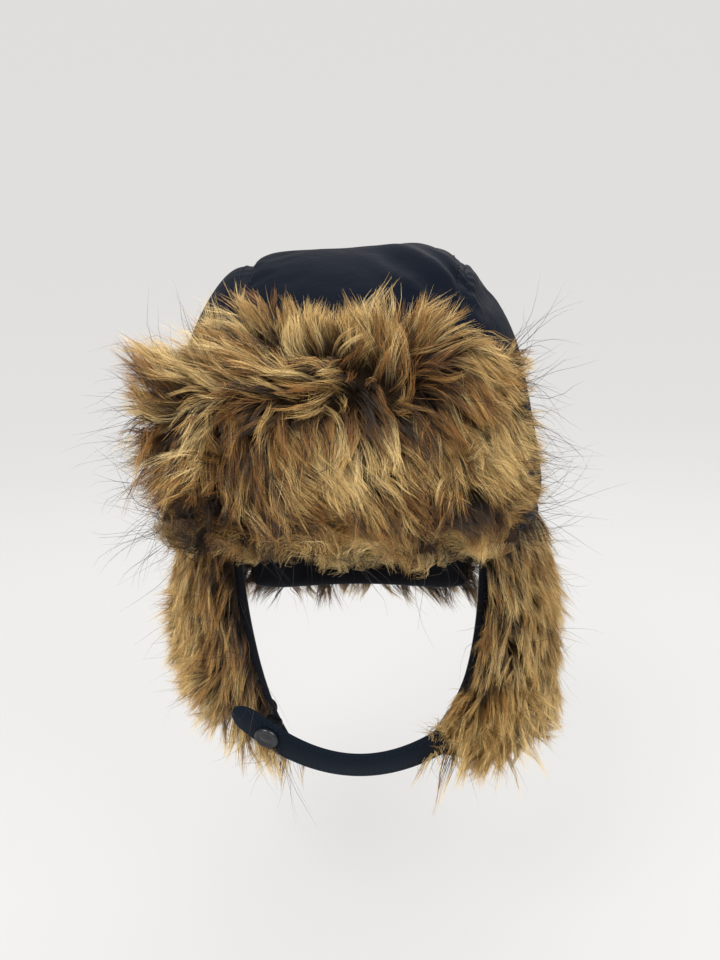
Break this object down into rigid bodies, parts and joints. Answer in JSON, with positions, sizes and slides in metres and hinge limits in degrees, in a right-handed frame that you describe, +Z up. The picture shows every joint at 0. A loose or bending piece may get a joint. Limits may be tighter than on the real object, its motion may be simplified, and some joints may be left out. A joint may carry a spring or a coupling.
{
  "type": "trapper hat",
  "caption": "Trapper hat with a padded navy nylon crown, a turned-up faux fur front flap, fur ear and neck flaps and a chin strap closed by a snap",
  "frame": {"origin": "centre of the head opening, in the plane of the crown's rim", "axes": "+Z up through the crown, -Y towards the wearer's face, +X towards the wearer's left"},
  "size_m": [0.2605, 0.2918, 0.333],
  "materials": {
    "navy_nylon": "dark navy woven nylon with a faint satin sheen",
    "wadding": "loose white polyester wadding",
    "black_lining": "smooth black polyester taffeta",
    "black_sweatband": "matt black cotton twill",
    "black_binding": "folded black binding tape",
    "blank_label": "blank woven off-white label",
    "hook_tape": "black hook tape",
    "loop_tape": "black loop tape",
    "stiffener": "grey felt interlining",
    "faux_fur": "long pile faux fur, golden tan with dark brown roots and black guard hairs",
    "navy_strap": "navy nylon strap, stitched along both edges",
    "snap_metal": "dark glossy lacquered metal"
  },
  "bodies": {
    "crown": {"crown_shell_centre": "navy_nylon", "crown_shell_left": "navy_nylon", "crown_shell_right": "navy_nylon", "crown_wadding_centre": "wadding", "crown_wadding_left": "wadding", "crown_wadding_right": "wadding", "crown_lining_centre": "black_lining", "crown_lining_left": "black_lining", "crown_lining_right": "black_lining", "sweatband": "black_sweatband", "rim_binding": "black_binding", "care_label": "blank_label", "crown_hook_patch": "hook_tape"},
    "front_flap": {"front_flap_facing": "navy_nylon", "front_flap_stiffener": "stiffener", "front_flap_fur": "faux_fur", "front_flap_loop_patch": "loop_tape"},
    "ear_flap_left": {"ear_flap_left_fur": "faux_fur", "ear_flap_left_wadding": "wadding", "ear_flap_left_lining": "black_lining", "ear_flap_left_face_edging": "black_binding"},
    "ear_flap_right": {"ear_flap_right_fur": "faux_fur", "ear_flap_right_wadding": "wadding", "ear_flap_right_lining": "black_lining", "ear_flap_right_face_edging": "black_binding", "snap_stud": "snap_metal", "snap_stud_back": "snap_metal"},
    "neck_flap": {"neck_flap_fur": "faux_fur", "neck_flap_wadding": "wadding", "neck_flap_lining": "black_lining"},
    "chin_strap": {"chin_strap_band": "navy_strap", "snap_cap": "snap_metal", "snap_socket": "snap_metal"}
  },
  "joints": [
    {"name": "front_flap_fold", "type": "hinge", "parent": "crown", "child": "front_flap", "pos_m": [0, -0.1285, -0.0065], "axis": [1, 0, 0], "range_deg": [0, 110]},
    {"name": "ear_flap_left_lift", "type": "hinge", "parent": "crown", "child": "ear_flap_left", "pos_m": [0.116, -0.01, -0.003], "axis": [0, -1, 0], "range_deg": [0, 130]},
    {"name": "ear_flap_right_lift", "type": "hinge", "parent": "crown", "child": "ear_flap_right", "pos_m": [-0.116, -0.01, -0.003], "axis": [0, 1, 0], "range_deg": [0, 130]},
    {"name": "neck_flap_lift", "type": "hinge", "parent": "crown", "child": "neck_flap", "pos_m": [0, 0.126, -0.004], "axis": [1, 0, 0], "range_deg": [0, 120]},
    {"name": "chin_strap_drop", "type": "hinge", "parent": "ear_flap_left", "child": "chin_strap", "pos_m": [0.046, -0.0973, -0.11726], "axis": [0, -1, 0], "range_deg": [0, 100]}
  ]
}
